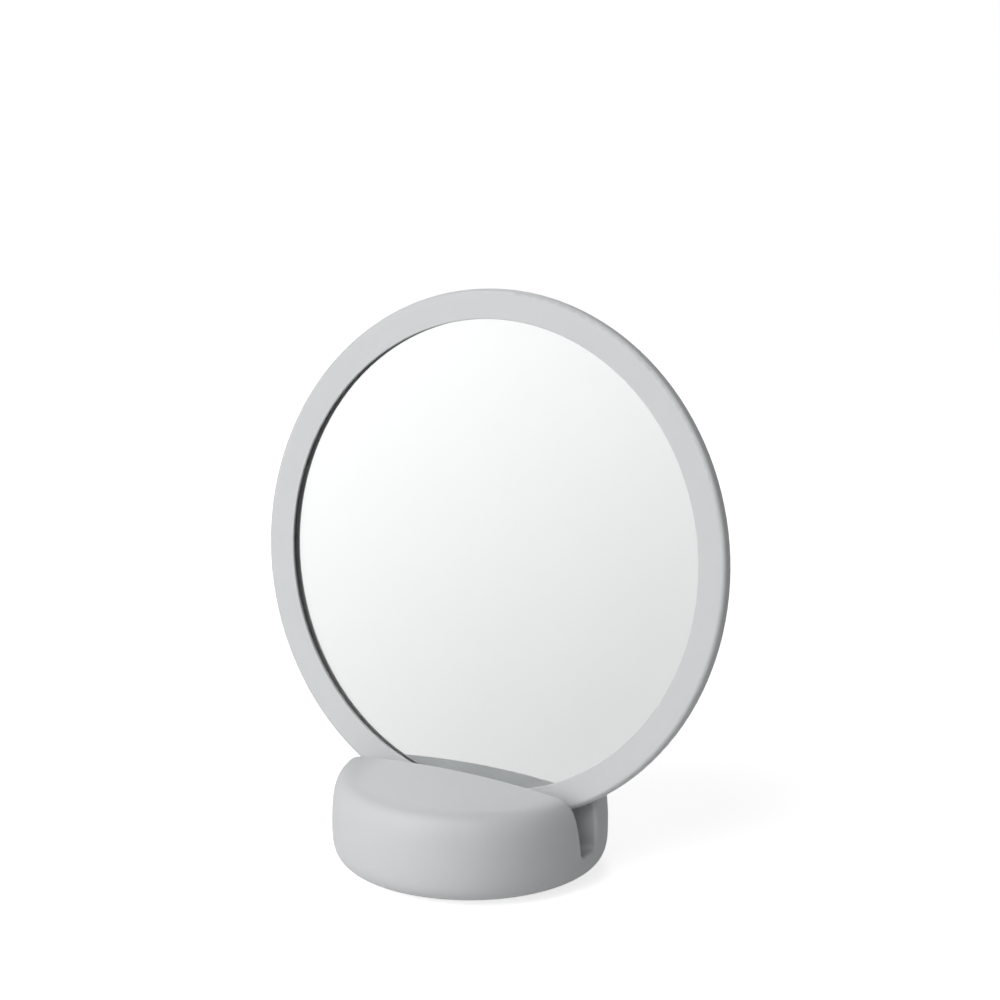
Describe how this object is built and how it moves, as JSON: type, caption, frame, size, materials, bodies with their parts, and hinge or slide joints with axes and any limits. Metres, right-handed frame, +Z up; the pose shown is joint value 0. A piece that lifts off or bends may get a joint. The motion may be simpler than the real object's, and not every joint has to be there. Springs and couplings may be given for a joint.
{
  "type": "table mirror",
  "caption": "Round table mirror in a thin matt ring frame, leaning back in the straight slot of a low rounded base, with a rocking cradle and ballast.",
  "frame": {"origin": "centre of the base on the table, under the foot pad", "axes": "+Z up, +X along the slot, -Y the way the mirror faces; it leans back towards +Y"},
  "size_m": [0.17, 0.089, 0.1842],
  "materials": {
    "soft_touch_grey": "matt soft-touch coating",
    "inner_plastic": "moulded, fine grain",
    "screw_steel": "zinc plated",
    "foot_rubber": "matt silicone",
    "ballast_iron": "as cast, waxed",
    "foam": "closed-cell foam",
    "cradle_rubber": "matt silicone",
    "gasket_rubber": "matt silicone",
    "clear_glass": "polished, slightly hollow",
    "silver": "silvered"
  },
  "bodies": {
    "base": {"base_shell": "soft_touch_grey", "base_plate": "inner_plastic", "plate_screws": "screw_steel", "foot_pad": "foot_rubber", "ballast_front": "ballast_iron", "ballast_rear": "ballast_iron", "ballast_pad_front": "foam", "ballast_pad_rear": "foam"},
    "cradle": {"cradle": "cradle_rubber"},
    "mirror": {"frame_ring": "soft_touch_grey", "glass_gasket": "gasket_rubber", "mirror_glass": "clear_glass", "silvering": "silver", "bonding_sheet": "foam", "rear_cover": "soft_touch_grey"}
  },
  "joints": [
    {"name": "tilt", "type": "hinge", "parent": "base", "child": "cradle", "pos_m": [0, 0.00045, 0.016], "axis": [1, 0, 0], "range_deg": [0, 24]},
    {"name": "lift_out", "type": "slide", "parent": "cradle", "child": "mirror", "axis": [0, 0.165, 0.9863], "range_m": [0, 0.05]}
  ]
}
